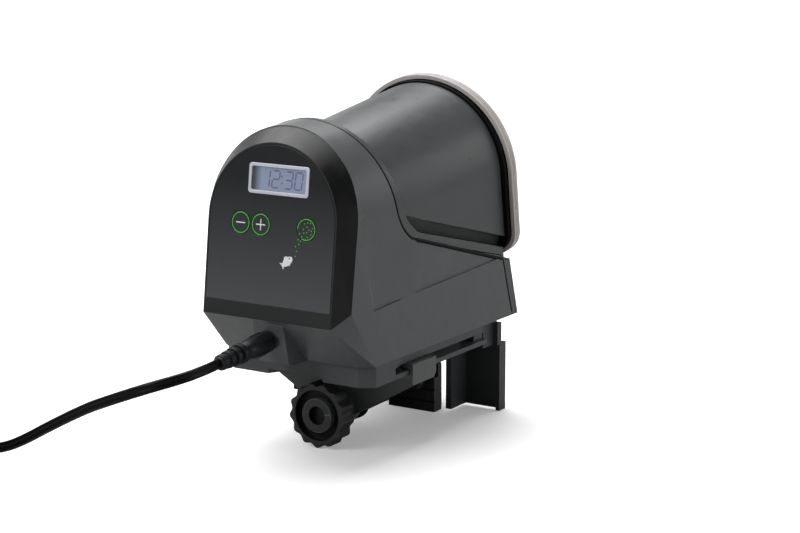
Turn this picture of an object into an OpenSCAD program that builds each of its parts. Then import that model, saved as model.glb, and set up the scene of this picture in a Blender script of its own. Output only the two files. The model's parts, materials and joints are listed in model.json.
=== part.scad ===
// Automatic fish feeder for an aquarium rim: a housing with a display and buttons,
// a slide-on food hopper with a feed screw, and a screw clamp underneath.
// Shapes are drawn from the bottom edge of the front panel: +X right, +Y back, +Z up.
// placed() moves them so that the origin is under the middle of the feeder, on its standing surface.

/* [Housing] */
// Half width of the housing at its front rim
half_w = 40; // [39.5:0.5:40.5]
// Height of the panel's bottom edge above the standing surface
stand_h = 74; // [74:0.5:76]
// Wall thickness of the plastic shells
wall = 2; // [1.6:0.2:2.2]
// Lean of the front panel
panel_tilt = 6.9; // [6:0.1:8]
// Height of the housing's underside, from the panel's bottom edge
under_z = -27; // [-27.4:0.1:-26.8]

/* [Hopper] */
// Widening of the hopper's barrel towards the lid, millimetres a millimetre
flare = 0.04; // [0.038:0.001:0.042]
// Lean of the hopper's mouth and lid
mouth_tilt = 8; // [7.8:0.1:8.2]
// Half width of the lid
lid_half_w = 46; // [45.8:0.1:46.4]
// Outside radius of the feed screw
screw_r = 9; // [8.5:0.1:9.2]
// Number of turns on the feed screw
screw_turns = 4; // [3:1:5]

/* [Drive] */
// Tooth size of the gears
gear_module = 0.8; // [0.8:0.1:0.8]
// Teeth on the small gears
small_teeth = 12; // [12:1:12]
// Teeth on the large gears
large_teeth = 36; // [36:1:36]

/* [Clamp] */
// Tip radius of the clamp knob
knob_r = 15.5; // [15.5:0.5:15.5]
// Number of lobes round the knob
knob_lobes = 13; // [11:1:15]
// Radius of the clamp spindle
spindle_r = 2.95; // [2.9:0.01:2.95]
// Inner and outer edge of each clamp pad, measured across the feeder
pad_inner = 15; // [14:1:17]
pad_outer = 40; // [38:1:40]

/* [Cord] */
// Width of the flat twin lead
cord_w = 4.8; // [4.4:0.2:5]
// Drop of the plug's axis as it leaves the socket
plug_drop = 4.2; // [4.2:0.1:4.2]

/* [Hidden] */
$fn = 64;
eps = 0.01;
gap = 0.3;

// Panel and rim
panel_half_w = 34.5;
panel_arch_z = 38;
strip_h = 6;
rim_tilt = 8.1;
rim_y = 7.3;
overlay_t = 0.8;
face_t = 3;

// Tapered barrels: start, height of the axis and radius there, widening, rise of the axis, length
housing_barrel = [18, 38.3, half_w, 0.037, 2.46, 40];
hopper_barrel = [40, 36, 37.5, flare, 6.05, 100];
// How far a barrel runs on past each end before it is cut
run_on = 12;
upper_side_w = 40.4;
lower_side_w = 41.2;
shoulder = [[14, -2.4], [46.7, 0], [81.5, 1.3], [135, 3.6]];

// Side view of the joint between housing and hopper
seam_top = [32.2, 85];
seam_knee = [46, 27.2];
seam_back = [138, 4.4];
seam_foot = [148.6, under_z];
seam_bend_r = 26;
rear_y = 154.2;
seam_band = 3.2;
skirt_top = [145.3, 2.4];

// Ledge under the barrel's sides, and the waist below it
ledge_y = 50.2;
ledge_z = 37.2;
ledge_fall = 14.6;
ledge_half = 38.6;
waist_half = 36.5;
waist_h = 7;

front_y = -strip_h * sin(panel_tilt);
mid_y = (rear_y + front_y) / 2;

// Hopper mouth
mouth_y = 141.5;
mouth_arch_z = 46.5;
mouth_half = 41.3;
lid_arch_z = 45;
lid_gap = 2.6;
lid_t = 5.2;
lid_bottom = 3.4;
lid_corner = 12;
grip_at = 30;
grip_w = 40;
grip_r = 1.2;
spigot_half = mouth_half - wall - 0.5;
spigot_bottom = 32.6;

// Feed screw and trough
screw_z = -6;
trough_r = 9.6;
screw_front = 64.6;
screw_back = 138;
screw_core_r = 3.4;
journal_r = 2.45;
journal_bore_r = 2.5;
hopper_front = 62;
funnel_half = 35.5;
front_wall_top = 24;
trough_back = 147;
outlet_y = [127, 138];
outlet_half = 9;

// Gear train
backlash = 1.6;
pressure_angle = 20;
output_at = [0, screw_z];
compound_at = [18.2, 0.11];
motor_at = [2, 10.42];
plate_y = 43;
first_gear_y = 46;
second_gear_y = 51;
gear_w = 4;
cover_y = 56.4;
cover_screw_at = [[-32, -20], [32, -20], [-32, 12], [32, 14]];

// Circuit board, display and buttons, in the panel's own plane
lcd_at = [2.75, 56.3];
lcd_size = [32.3, 13.6];
minus_at = [-16.5, 36];
plus_at = [-5.6, 36];
feed_at = [18.7, 36];
button_r = 4.9;
key_travel = 0.4;
board_y = 8.4;
board_hole = [23.5, 27.5];
board_t = 1.6;
board_boss_r = 2.8;
pilot_r = 1.35;
clear_r = 1.7;

// Base plate and clamp
plate_top = -34.5;
plate_bottom = -36.7;
band_y = 21.4;
plate_end = 125;
plate_half = 40.6;
rail_z = -31.4;
base_screw_at = [[-33, 33], [33, 33], [-34, 120], [34, 120]];
jaw_screw_at = [[-24, 120.6], [24, 120.6]];
spindle_z = knob_r - stand_h;
carriage_y = [53.6, 74];
carriage_top = plate_bottom - gap;
web_y = [56.5, 59.5];
bar_y = [67, 70];
pad_y = [76.5, 83.2, 84.7];
pad_z = [-60, -43.5];
pad_top = -37.6;
pad_w = pad_outer - pad_inner;
pad_grooves = [-55.4, -49.6];
jaw_y = 124;
jaw_wing_y = 138.5;
jaw_half = 21;
jaw_t = 2;
knob_y = [38, 46.5];

// Plug, and the lead's route in the finished position: straight out of the plug, down to the
// standing surface on the left, and into the coil
plug_tail = [0, -112, 56];
relief_len = 18;
plug_len = 18.2;
cord_t = 2.6;
lead_route = [
    [0, -112, 56], [0, -118, 55.5], [-0.5, -124, 55], [-2, -130, 54.2], [-6, -137, 52.8],
    [-13, -142, 50.4], [-23, -144, 46.6], [-34, -143.5, 42.2], [-46, -141, 37.2],
    [-58, -138, 31.6], [-70, -135, 25.6], [-82, -132.6, 19.4], [-94, -130.6, 13],
    [-106, -129, 7.4], [-117, -128, 4], [-129, -127.4, 2.6], [-142, -127.2, 2.4]
];
// Coil of two layers with four turns each
coil_at = [-142, -159.6, 0];
coil_r = 25.2;
coil_w = 19.2;
coil_h = 9.8;
// From the upper layer of the coil down to the adapter
tail_route = [
    [-142, -127.2, 7.2], [-149, -127.2, 7], [-156, -127.2, 6], [-163, -127.3, 4.8],
    [-170, -127.5, 3.7], [-177, -128.1, 3], [-184, -129.6, 2.8], [-190.5, -132.4, 3],
    [-195.6, -136.8, 3.6], [-198.4, -142.4, 4.4], [-199, -148, 5]
];
adapter_at = [-199, -178, 0];
adapter_size = [36, 60, 24];

// ---------- placing and outlines ----------

// A rod of radius r along the panel's own +Y at each screw of the circuit board
module board_rods(y0, y1, r) {
    on_panel() for (s = [-1, 1]) rod_y([s * board_hole[0], board_hole[1]], y0, y1, r);
}

module placed() {
    translate([0, -mid_y, stand_h]) children();
}

// Extrudes an X-Z outline from y0 to y1
module along_y(y0, y1) {
    translate([0, y1, 0]) rotate([90, 0, 0]) linear_extrude(y1 - y0) children();
}

// Extrudes a Y-Z outline across the feeder
module along_x(w) {
    rotate([90, 0, 90]) linear_extrude(w, center = true) children();
}

// A rod along +Y from y0 to y1 at X, Z = at
module rod_y(at, y0, y1, r, r2 = -1) {
    translate([at[0], y0, at[1]]) rotate([-90, 0, 0]) cylinder(h = y1 - y0, r1 = r, r2 = r2 < 0 ? r : r2);
}

module on_panel() {
    rotate([-panel_tilt, 0, 0]) children();
}

module on_mouth() {
    translate([0, mouth_y, 0]) rotate([mouth_tilt, 0, 0]) children();
}

module half_disc(r, zc) {
    translate([0, zc]) difference() {
        circle(r);
        translate([-r - 1, -2 * r]) square([2 * r + 2, 2 * r]);
    }
}

// Tombstone outline: round top of radius r about height zc, straight sides down to zb
module tombstone(r, zc, zb) {
    half_disc(r, zc);
    translate([-r, zb]) square([2 * r, zc - zb]);
}

// Tombstone whose bottom corners are rounded as well
module round_tombstone(r, zc, zb, corner) {
    half_disc(r, zc);
    translate([-r, zb + corner]) square([2 * r, zc - zb - corner]);
    translate([-r + corner, zb]) square([2 * (r - corner), corner + eps]);
    for (s = [-1, 1]) translate([s * (r - corner), zb + corner]) circle(corner);
}

module rounded(size, r) {
    translate([-size[0] / 2 + r, -size[1] / 2]) square([size[0] - 2 * r, size[1]]);
    translate([-size[0] / 2, -size[1] / 2 + r]) square([size[0], size[1] - 2 * r]);
    for (sx = [-1, 1], sy = [-1, 1])
        translate([sx * (size[0] / 2 - r), sy * (size[1] / 2 - r)]) circle(r);
}

// Points of a round bend of radius r where two straight runs meet at p
function unit(v) = v / norm(v);
function bend(a, p, b, r, n = 10) =
    let (u = unit(a - p), v = unit(b - p), half = acos(u * v) / 2,
         c = p + unit(u + v) * r / sin(half),
         s = p + u * r / tan(half), e = p + v * r / tan(half),
         a0 = atan2(s[1] - c[1], s[0] - c[0]), a1 = atan2(e[1] - c[1], e[0] - c[0]),
         turn = (a1 - a0 + 540) % 360 - 180)
    [for (i = [0:n]) c + r * [cos(a0 + turn * i / n), sin(a0 + turn * i / n)]];

// Side view of the seam, moved away from the housing by d
function seam(d) =
    concat([seam_top + [d, 0]],
           bend(seam_top + [d, 0], seam_knee + [d, d], seam_back + [d, d], seam_bend_r),
           [seam_back + [d, d], seam_foot + [d, 0]]);

// A barrel's tapered round top, drawn inwards by inset
module barrel_round(barrel, inset) {
    r0 = barrel[2] - inset;
    translate([0, barrel[0], barrel[1]]) rotate([-90 + barrel[4], 0, 0]) translate([0, 0, -run_on])
        cylinder(h = barrel[5] + 2 * run_on, r1 = r0 - run_on * barrel[3],
                 r2 = r0 + (barrel[5] + run_on) * barrel[3]);
}

// A barrel's straight sides, widening to the back, from z0 up to its axis
module barrel_sides(barrel, inset, z0) {
    y0 = barrel[0] - run_on;
    y1 = barrel[0] + barrel[5];
    w0 = barrel[2] - inset - run_on * barrel[3];
    w1 = barrel[2] - inset + barrel[5] * barrel[3];
    slope = tan(barrel[4]);
    intersection() {
        translate([0, 0, z0]) linear_extrude(barrel[1] + 20 - z0)
            polygon([[-w0, y0], [w0, y0], [w1, y1], [-w1, y1]]);
        along_x(120) polygon([[y0, z0 - 1], [y1, z0 - 1], [y1, barrel[1] + slope * barrel[5] + 0.5],
                              [y0, barrel[1] - slope * run_on + 0.5]]);
    }
}

// The sides behind the front rim, spreading to half width w between z0 and z1
module lower_sides(w, z0, z1) {
    w0 = min(half_w, w);
    translate([0, 0, z0]) linear_extrude(z1 - z0)
        polygon([[-w0, 6], [w0, 6], [w0, 12], [w, 30], [w, rear_y], [-w, rear_y], [-w, 30], [-w0, 12]]);
}

// ---------- gears ----------

function inv_angle(r, rb) = let (t = sqrt(max(0, pow(r / rb, 2) - 1))) t * 180 / PI - atan(t);

// Outline of a spur gear with involute flanks, one tooth centred on +X
function gear_points(teeth, m) =
    let (rp = m * teeth / 2, rb = rp * cos(pressure_angle), ra = rp + 0.9 * m, rr = rp - 1.2 * m,
         half_base = 90 / teeth - backlash * 6 / teeth + inv_angle(rp, rb),
         r0 = max(rb, rr), steps = 5)
    [for (k = [0:teeth - 1]) let (c = 360 * k / teeth)
        each concat(
            [rr * [cos(c - half_base - 0.5), sin(c - half_base - 0.5)]],
            [for (i = [0:steps]) let (r = r0 + (ra - r0) * i / steps, a = c - half_base + inv_angle(r, rb))
                r * [cos(a), sin(a)]],
            [for (i = [steps:-1:0]) let (r = r0 + (ra - r0) * i / steps, a = c + half_base - inv_angle(r, rb))
                r * [cos(a), sin(a)]],
            [rr * [cos(c + half_base + 0.5), sin(c + half_base + 0.5)]])];

// A gear standing on y0, turned by phase degrees, seen along +Y
module gear(at, y0, teeth, phase) {
    translate([at[0], y0 + gear_w, at[1]]) rotate([90, 0, 0]) rotate([0, 0, phase])
        linear_extrude(gear_w) polygon(gear_points(teeth, gear_module));
}

function heading(a, b) = atan2(b[1] - a[1], b[0] - a[0]);

// Phase that puts a gap of gear b opposite a tooth of gear a, whose own phase is pa
function mesh_phase(pa, at_a, teeth_a, at_b, teeth_b) =
    let (h = heading(at_a, at_b)) h + 180 + 180 / teeth_b + (h - pa) * teeth_a / teeth_b;

// ---------- front housing ----------

module nose(inset) {
    hull() {
        on_panel() along_y(inset, inset + 0.5)
            tombstone(panel_half_w - inset, panel_arch_z, -strip_h + inset);
        translate([0, rim_y, 0]) rotate([-rim_tilt, 0, 0])
            along_y(0, 0.5) tombstone(half_w - inset, panel_arch_z + 0.6, 0);
        translate([0, 0, under_z + inset]) linear_extrude(0.5)
            polygon([[-34, 19.4 + inset], [34, 19.4 + inset], [lower_side_w - inset, 24.6],
                     [lower_side_w - inset, 30], [-lower_side_w + inset, 30], [-lower_side_w + inset, 24.6]]);
    }
}

// Side view of the housing behind its rim
module housing_side(inset) {
    pts = concat([[rim_y + 0.3, 2], [24.6, under_z + inset]],
                 [[seam_foot[0] - (inset > 0 ? -8 : 0), under_z + inset]],
                 [for (i = [len(seam(0)) - 2:-1:0]) seam(0)[i] + (inset > 0 ? [12, 4] : [0, 0])],
                 [[rim_y + 0.3 + tan(rim_tilt) * 85, 85]]);
    polygon(pts);
}

module housing_body(inset) {
    intersection() {
        union() {
            barrel_round(housing_barrel, inset);
            barrel_sides(housing_barrel, inset, 0);
            lower_sides(upper_side_w - inset, under_z - 1, 30);
            // the lower part of the sides stands slightly proud
            intersection() {
                lower_sides(lower_side_w - inset, under_z - 1, 5);
                along_x(100) polygon(concat(shoulder, [[160, 3.6], [160, -40], [14, -40]]));
            }
        }
        along_x(100) housing_side(inset);
    }
}

module socket_block() {
    along_x(16.4) polygon([[0.6, -7.6], [5.1, -26.2], [8, under_z], [24, under_z], [16, -6], [2, -6]]);
}

module plug_axis() {
    translate(plug_tail) rotate([-90 + plug_drop, 0, 0]) children();
}

module front_housing() {
    color("dimgray") difference() {
        placed() difference() {
            union() {
                nose(0);
                housing_body(0);
                socket_block();
            }
            difference() {
                union() {
                    nose(wall + 1);
                    housing_body(wall);
                }
                socket_boss();
                board_rods(1, board_y, board_boss_r);
            }
            // open top under the hopper
            along_x(2 * (upper_side_w - wall))
                polygon([[50, 22], [seam_back[0] - 3, 0], [160, 0], [160, 60], [50, 60]]);
        }
        placed() {
            // recess for the overlay, display opening and button holes
            on_panel() along_y(-1, overlay_t) tombstone(panel_half_w - 0.9, panel_arch_z, 0.6);
            on_panel() translate([lcd_at[0], 0, lcd_at[1]]) along_y(-1, 8) rounded(lcd_size - [2.4, 2.4], 1);
            on_panel() for (b = [minus_at, plus_at, feed_at]) {
                rod_y(b, -1, 8, 3.2);
                rod_y(b, -1, overlay_t + key_travel + 0.2, button_r + gap);
            }
            board_rods(face_t - 1, board_y + 1, pilot_r);
            // way out for the food, open to the back so that the hopper can slide off
            translate([-13, 124, under_z - 1]) cube([26, 30, wall + 2]);
            // screw holes of the base
            for (p = base_screw_at) translate([p[0], p[1], under_z - 1]) cylinder(h = wall + 2, r = clear_r);
        }
        plug_axis() translate([0, 0, relief_len + plug_len]) cylinder(h = 24, r = 4.35);
    }
}

// Plastic round the socket's bore, inside the socket block
module socket_boss() {
    translate([0, mid_y, -stand_h]) plug_axis() translate([0, 0, relief_len + plug_len - 2])
        cylinder(h = 15, r = 6.4);
}

// ---------- panel, display, buttons and board ----------

module panel_overlay() {
    color("black") placed() on_panel() difference() {
        along_y(0, overlay_t - 0.05) tombstone(panel_half_w - 1.1, panel_arch_z, 0.8);
        translate([lcd_at[0], 0, lcd_at[1]]) along_y(-1, 8) rounded(lcd_size, 1.6);
        for (b = [minus_at, plus_at, feed_at]) rod_y(b, -1, 8, button_r + gap);
    }
}

module display_frame() {
    color("lightsteelblue") placed() on_panel() translate([lcd_at[0], 0, lcd_at[1]]) difference() {
        along_y(-0.35, overlay_t - 0.05) rounded(lcd_size - [0.1, 0.1], 1.5);
        along_y(-1, 8) rounded(lcd_size - [3.2, 3.2], 0.8);
    }
}

module display_window() {
    color("slategray") placed() on_panel() translate([lcd_at[0], 0, lcd_at[1]])
        along_y(0.25, 2.6) rounded(lcd_size - [3.3, 3.3], 0.75);
}

module display_module() {
    color("gray") placed() on_panel() translate([lcd_at[0], 0, lcd_at[1]])
        along_y(face_t + 0.1, board_y - 0.05) rounded([34, 14], 2.6);
}

module circuit_board() {
    color("darkgreen") placed() on_panel() difference() {
        along_y(board_y, board_y + board_t) {
            translate([-27, 24]) square([54, 18]);
            translate([-20, 42 - eps]) square([44, 22]);
        }
        for (s = [-1, 1]) rod_y([s * board_hole[0], board_hole[1]], 0, 20, pilot_r + 0.05);
    }
    color("silver") placed() on_panel() for (s = [-1, 0, 1])
        translate([s * 9 - 2.5, board_y + board_t, 44]) cube([5, 1.4, 8]);
}

module board_screws() {
    color("silver") placed() on_panel() for (s = [-1, 1]) {
        rod_y([s * board_hole[0], board_hole[1]], face_t - 0.9, board_y + board_t + eps, pilot_r - 0.05);
        rod_y([s * board_hole[0], board_hole[1]], board_y + board_t, board_y + 2 * board_t, 2.6);
    }
}

module tact_switches() {
    color("dimgray") placed() on_panel() for (b = [minus_at, plus_at, feed_at]) {
        translate([b[0] - 3, 4.9, b[1] - 3]) cube([6, board_y - 4.9, 6]);
        rod_y(b, 4.1, 4.9 + eps, 1.6);
    }
}

// A round key: the visible disc and the stem that reaches the switch
module key(at) {
    placed() on_panel() {
        rod_y(at, -0.05, overlay_t - 0.1, button_r);
        rod_y(at, 0, 4.05 - key_travel, 2.6);
    }
}

module button_minus() {
    color("black") key(minus_at);
}

module button_plus() {
    color("black") key(plus_at);
}

module button_feed() {
    color("black") key(feed_at);
}

module dc_socket() {
    color("dimgray") plug_axis() translate([0, 0, relief_len + plug_len]) difference() {
        cylinder(h = 13, r = 4.3);
        translate([0, 0, -1]) cylinder(h = 12, r = 2.85);
    }
    color("silver") plug_axis() translate([0, 0, relief_len + plug_len + 1.5]) cylinder(h = 10, r = 0.95);
}

// ---------- motor and gears ----------

phase_output = 0;
phase_compound_small = mesh_phase(phase_output, output_at, large_teeth, compound_at, small_teeth);
phase_compound_large = 0;
phase_pinion = mesh_phase(phase_compound_large, compound_at, large_teeth, motor_at, small_teeth);

module motor_plate() {
    color("gray") placed() difference() {
        union() {
            along_y(plate_y, plate_y + wall) translate([-38, -24.6]) square([76, 47]);
            for (p = cover_screw_at) rod_y(p, plate_y, cover_y, 3);
        }
        rod_y(motor_at, plate_y - 1, plate_y + 4, 3.2);
        rod_y(output_at, plate_y - 1, plate_y + 4, 2.5);
        rod_y(compound_at, plate_y - 1, plate_y + 4, 1.5);
        for (p = cover_screw_at) rod_y(p, plate_y + 3, cover_y + 1, 1.2);
    }
}

module motor() {
    color("silver") placed() {
        difference() {
            rod_y(motor_at, 20, plate_y, 12);
            for (s = [-1, 1])
                translate([motor_at[0] + s * 15, 10, motor_at[1]]) cube([8, 80, 40], center = true);
        }
        rod_y(motor_at, 17.5, 20 + eps, 4);
        rod_y(motor_at, plate_y - eps, plate_y + 1.4, 3.1);
    }
}

module motor_pinion() {
    color("white") placed() {
        gear(motor_at, first_gear_y, small_teeth, phase_pinion);
        rod_y(motor_at, plate_y + 1.5, first_gear_y + gear_w + 0.6, 2);
    }
}

module compound_gear() {
    color("white") placed() difference() {
        union() {
            gear(compound_at, first_gear_y, large_teeth, phase_compound_large);
            gear(compound_at, second_gear_y, small_teeth, phase_compound_small);
            rod_y(compound_at, first_gear_y - 0.6, second_gear_y + gear_w + 0.6, 2.9);
        }
        rod_y(compound_at, first_gear_y - 2, cover_y, 1.55);
    }
}

module compound_shaft() {
    color("silver") placed() rod_y(compound_at, plate_y, cover_y + wall, 1.5);
}

module output_gear() {
    color("white") placed() {
        gear(output_at, second_gear_y, large_teeth, phase_output);
        rod_y(output_at, plate_y + 0.2, second_gear_y + eps, 2.45);
        rod_y(output_at, second_gear_y, cover_y + wall, 3.95);
        difference() {
            rod_y(output_at, cover_y + wall - eps, 61.4, 5.6);
            // slot for the tang of the feed screw
            translate([output_at[0] - 2.3, cover_y + wall + 0.8, output_at[1] - 9]) cube([4.6, 9, 18]);
        }
    }
}

module gear_cover() {
    color("gray") placed() difference() {
        along_y(cover_y, cover_y + wall - 0.2) translate([-36, -24.4]) square([72, 42]);
        rod_y(output_at, cover_y - 1, cover_y + 4, 4);
        rod_y(compound_at, cover_y - 1, cover_y + 4, 1.5);
        for (p = cover_screw_at) rod_y(p, cover_y - 1, cover_y + 4, 1.3);
    }
}

module cover_screws() {
    color("silver") placed() for (p = cover_screw_at) {
        rod_y(p, plate_y + 3.2, cover_y + wall - 0.2, 1.2);
        rod_y(p, cover_y + wall - 0.2, cover_y + wall + 1.2, 2.4);
    }
}

// ---------- hopper, feed screw and lid ----------

// Side view of everything behind the seam, kept d clear of the housing
module behind_seam(d) {
    polygon(concat(seam(d), [[170, under_z], [170, 110], [seam_top[0] + d, 110]]));
}

// Side view of the hopper: seam in front, mouth and skirt behind
module hopper_side() {
    polygon(concat(seam(gap),
                   [[rear_y, under_z], skirt_top, [mouth_y - tan(mouth_tilt) * skirt_top[1], skirt_top[1]],
                    [mouth_y - tan(mouth_tilt) * 95, 95], [seam_top[0] + gap, 95]]));
}

// Children drawn from the front end of the ledge, with +Y along it
module on_ledge() {
    translate([0, ledge_y, ledge_z]) rotate([-ledge_fall, 0, 0]) children();
}

module hopper_outer() {
    intersection() {
        along_x(110) hopper_side();
        union() {
            intersection() {
                union() {
                    barrel_round(hopper_barrel, 0);
                    barrel_sides(hopper_barrel, 0, 10);
                }
                on_ledge() translate([-60, -60, 0]) cube([120, 200, 100]);
            }
            // waist that slopes in under the ledge
            on_ledge() along_y(-run_on, 105)
                polygon([[-ledge_half, gap], [ledge_half, gap], [waist_half, -waist_h - 1],
                         [-waist_half, -waist_h - 1]]);
            // band along the seam, level with the housing
            intersection() {
                union() {
                    barrel_round(housing_barrel, 0.1);
                    barrel_sides(housing_barrel, 0.1, 0);
                    lower_sides(upper_side_w, under_z, 30);
                }
                along_x(110) difference() {
                    behind_seam(gap);
                    behind_seam(gap + seam_band);
                }
            }
            // skirt at the back
            intersection() {
                lower_sides(lower_side_w, under_z, 10);
                along_x(110) polygon([seam_back - [3, 0], seam_foot - [3, 0], [rear_y, under_z], skirt_top]);
            }
        }
    }
}

// The funnel between the ledge and the trough, grown by extra
module funnel(extra) {
    hull() {
        on_ledge() along_y(-2, 84) translate([-funnel_half - extra, 2.5])
            square([2 * (funnel_half + extra), 0.5]);
        along_y(hopper_front + wall - extra, 134 + extra)
            translate([0.3 - trough_r - extra, screw_z - 1]) square([2 * (trough_r + extra - 0.3), 1.5]);
    }
}

// The food space, grown by extra: round top, funnel and trough
module food_space(extra) {
    intersection() {
        union() {
            barrel_round(hopper_barrel, wall - extra);
            barrel_sides(hopper_barrel, wall - extra, 10);
        }
        on_ledge() translate([-60, -60, 2.6 - extra]) cube([120, 200, 100]);
    }
    funnel(extra);
    rod_y([0, screw_z], hopper_front + wall - extra, trough_back + extra, trough_r + extra);
}

// Everything that far behind the front wall and the seam
module hopper_reach(d) {
    along_x(120) behind_seam(gap + d);
    translate([-60, hopper_front + d, -40]) cube([120, 90, 40 + front_wall_top + d]);
}

module hopper() {
    color("dimgray") placed() difference() {
        union() {
            difference() {
                hopper_outer();
                // hollow skirt, open below
                along_x(2 * (upper_side_w - wall)) polygon([[40, -40], [seam_foot[0] + 3.4, -40],
                    [seam_back[0] + 3.4, 0], [seam_back[0] - 2, 4.6], [40, 31]]);
            }
            intersection() {
                food_space(wall);
                hopper_reach(0);
                along_x(2 * waist_half) polygon([[30, -40], [160, -40], [160, 20], [30, 54]]);
            }
            // bearing for the tail of the feed screw
            rod_y([0, screw_z], trough_back - 1, trough_back + wall, 8.2);
        }
        intersection() {
            food_space(0);
            hopper_reach(wall);
        }
        // mouth cut square to the lid
        on_mouth() along_y(0, 60) translate([-60, lid_bottom - 2]) square([120, 120]);
        // outlet under the end of the trough
        translate([-outlet_half, outlet_y[0], -40])
            cube([2 * outlet_half, outlet_y[1] - outlet_y[0], 40 + screw_z]);
        rod_y([0, screw_z], hopper_front - 3, hopper_front + 6, 4.55);
        rod_y([0, screw_z], trough_back - 4, trough_back + wall - 0.6, journal_bore_r);
    }
}

module hopper_bush() {
    color("ivory") placed() difference() {
        union() {
            rod_y([0, screw_z], hopper_front, hopper_front + wall, 4.5);
            rod_y([0, screw_z], hopper_front + wall, hopper_front + wall + 0.5, 5.6);
        }
        rod_y([0, screw_z], hopper_front - 1, hopper_front + 6, journal_bore_r);
    }
}

module feed_screw() {
    flight_len = screw_back - screw_front - 6;
    color("white") placed() {
        difference() {
            union() {
                rod_y([0, screw_z], screw_front + 0.2, screw_back, screw_core_r);
                rod_y([0, screw_z], 61.5, trough_back + wall - 0.8, journal_r);
            }
            translate([-10, trough_back + wall - 0.8, -30]) cube([20, 10, 40]);
        }
        translate([-2, cover_y + wall + 1.2, screw_z - 4]) cube([4, 2.2, 8]);
        translate([0, screw_front + 3, screw_z]) rotate([-90, 0, 0])
            linear_extrude(flight_len, twist = -360 * screw_turns, slices = 18 * screw_turns)
                intersection() {
                    circle(screw_r, $fn = 40);
                    polygon([[0, -1.5], [12, -2.4], [12, 2.4], [0, 1.5], [-1, 0]]);
                }
    }
}

module drop_chute() {
    color("dimgray") placed() difference() {
        translate([-outlet_half - 1.6, outlet_y[0] - 1.6, under_z + wall + 0.4])
            cube([2 * outlet_half + 3.2, outlet_y[1] - outlet_y[0] + 3.2, 9.2]);
        translate([-outlet_half, outlet_y[0], under_z - 5])
            cube([2 * outlet_half, outlet_y[1] - outlet_y[0], 30]);
        rod_y([0, screw_z], 100, 150, trough_r + wall + 0.02);
    }
}

// Outline of the spigot that enters the mouth
module spigot_outline(inset) {
    round_tombstone(spigot_half - inset, mouth_arch_z, spigot_bottom + inset, 2);
}

module lid() {
    back = lid_gap + lid_t;
    color("silver") placed() on_mouth() difference() {
        union() {
            along_y(lid_gap, back) round_tombstone(lid_half_w, lid_arch_z, lid_bottom, lid_corner);
            along_y(-3, lid_gap + 1) spigot_outline(0);
        }
        along_y(-4, back - wall) spigot_outline(wall);
        difference() {
            along_y(lid_gap - 1, back - wall)
                round_tombstone(lid_half_w - wall, lid_arch_z, lid_bottom + wall, lid_corner - wall);
            along_y(lid_gap - 2, 20) spigot_outline(0);
        }
        // moulded finger grip across the back
        translate([0, back, grip_at]) rotate([0, 90, 0]) cylinder(h = grip_w, r = grip_r, center = true);
    }
}

module lid_gasket() {
    color("black") placed() on_mouth() difference() {
        along_y(0.05, lid_gap + 1.6)
            round_tombstone(lid_half_w - wall - gap, lid_arch_z, lid_bottom + wall + gap, lid_corner - 3);
        along_y(-1, lid_gap + 4) spigot_outline(-gap);
    }
}

// ---------- base and clamp ----------

module base_plate() {
    color("dimgray") placed() difference() {
        union() {
            translate([0, 0, plate_bottom]) linear_extrude(plate_top - plate_bottom)
                polygon([[-34, band_y], [-15, band_y], [-12, band_y + 5], [12, band_y + 5], [15, band_y],
                         [34, band_y], [plate_half, 25.8], [plate_half, plate_end],
                         [-plate_half, plate_end], [-plate_half, 25.8]]);
            translate([0, 0, plate_top - eps]) linear_extrude(under_z - plate_top + eps)
                polygon([[-34, band_y], [34, band_y], [plate_half, 25.8], [plate_half, 42],
                         [-plate_half, 42], [-plate_half, 25.8]]);
            for (s = [-1, 1]) {
                translate([s * 34 - 4, 116.5, plate_top - eps]) cube([8, 8, under_z - plate_top + eps]);
                // rail beside the slot that the carriage slides in
                translate([0, 0, rail_z]) linear_extrude(under_z - rail_z) scale([s, 1])
                    polygon([[36.4, 41], [40.5, 41], [40, 45], [39, 49], [38.8, 54],
                             [38.8, plate_end - 0.5], [36.4, plate_end - 0.5]]);
            }
        }
        translate([-26, 30, plate_bottom - 1]) cube([52, 20, 8]);
        for (p = base_screw_at) {
            translate([p[0], p[1], plate_bottom - 1]) cylinder(h = 20, r = clear_r);
            translate([p[0], p[1], plate_bottom - 1]) cylinder(h = 2.4, r = 3.1);
        }
        for (p = jaw_screw_at) translate([p[0], p[1], plate_bottom - 1]) cylinder(h = 6, r = 1.5);
    }
}

module base_screws() {
    color("silver") placed() for (p = base_screw_at) {
        translate([p[0], p[1], plate_bottom + 0.1]) cylinder(h = 1.3, r = 2.9);
        translate([p[0], p[1], plate_bottom + 1.3]) cylinder(h = 14, r = clear_r - 0.05);
    }
}

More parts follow.
